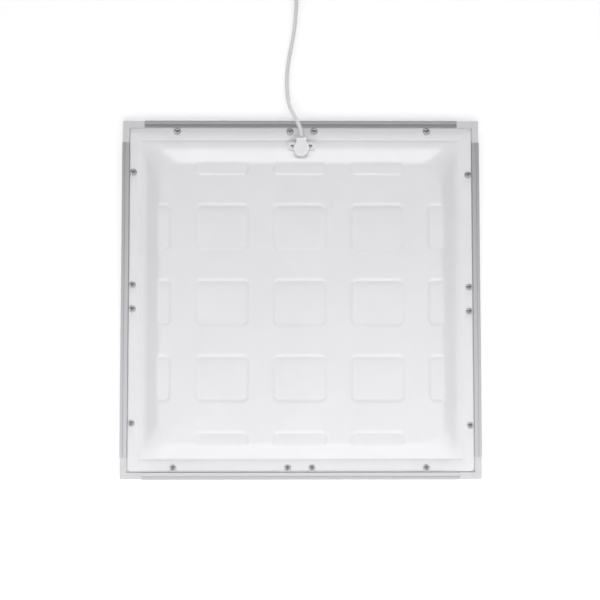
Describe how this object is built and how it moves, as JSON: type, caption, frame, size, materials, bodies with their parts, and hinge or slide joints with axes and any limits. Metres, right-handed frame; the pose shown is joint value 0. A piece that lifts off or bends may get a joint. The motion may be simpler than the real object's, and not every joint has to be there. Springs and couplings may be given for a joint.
{
  "type": "recessed troffer light",
  "caption": "Square lay-in LED panel light lying face down: aluminium frame with moulded corner pieces, pressed white back pan with pockets, cable cover and a low-voltage lead.",
  "frame": {"origin": "middle of the square frame, on the plane of the lit side's rim that the panel lies on", "axes": "+Z out of the back of the panel, up into the ceiling space; +Y towards the side where the lead leaves; +X to the right as seen from behind"},
  "size_m": [0.595, 0.8516, 0.0309],
  "materials": {
    "rail_aluminium": "satin extruded, lightly anodised",
    "corner_plastic": "moulded light grey, fine texture",
    "white_painted_steel": "white powder coat, semi-gloss",
    "opal_diffuser": "opal polystyrene, satin",
    "zinc_steel": "bright zinc plated",
    "white_plastic": "moulded white, semi-gloss",
    "grey_rubber": "soft, matt",
    "white_lead": "soft white jacket, satin",
    "socket_plastic": "soft moulded white",
    "contact_metal": "nickel plated",
    "thermal_tape": "matt",
    "board_white": "white solder mask on aluminium",
    "chip_yellow": "satin phosphor",
    "lens_clear": "clear moulded, glossy",
    "wire_red_black": "satin insulation"
  },
  "bodies": {
    "root": {"back_pan": "white_painted_steel", "cable_cover": "white_plastic", "corner_piece_cable": "corner_plastic", "corner_piece_front": "corner_plastic", "corner_piece_left": "corner_plastic", "corner_piece_right": "corner_plastic", "cover_bush": "grey_rubber", "cover_screws": "zinc_steel", "feed_wires": "wire_red_black", "frame_rail_cable": "rail_aluminium", "frame_rail_front": "rail_aluminium", "frame_rail_left": "rail_aluminium", "frame_rail_right": "rail_aluminium", "lead": "white_lead", "lead_socket": "socket_plastic", "lead_socket_contacts": "contact_metal", "lead_tail": "white_lead", "link_wires_1": "wire_red_black", "link_wires_2": "wire_red_black", "link_wires_3": "wire_red_black", "opal_diffuser": "opal_diffuser", "pan_grommet": "grey_rubber", "rim_screws_cable": "zinc_steel", "rim_screws_front": "zinc_steel", "rim_screws_left": "zinc_steel", "rim_screws_right": "zinc_steel", "rim_washers_cable": "zinc_steel", "rim_washers_front": "zinc_steel", "rim_washers_left": "zinc_steel", "rim_washers_right": "zinc_steel", "strip_board_1": "board_white", "strip_board_2": "board_white", "strip_board_3": "board_white", "strip_board_4": "board_white", "strip_chips_1": "chip_yellow", "strip_chips_2": "chip_yellow", "strip_chips_3": "chip_yellow", "strip_chips_4": "chip_yellow", "strip_lenses_1": "lens_clear", "strip_lenses_2": "lens_clear", "strip_lenses_3": "lens_clear", "strip_lenses_4": "lens_clear", "strip_tape_1": "thermal_tape", "strip_tape_2": "thermal_tape", "strip_tape_3": "thermal_tape", "strip_tape_4": "thermal_tape", "wire_blocks_1": "white_plastic", "wire_blocks_2": "white_plastic", "wire_blocks_3": "white_plastic", "wire_blocks_4": "white_plastic"}
  },
  "joints": []
}
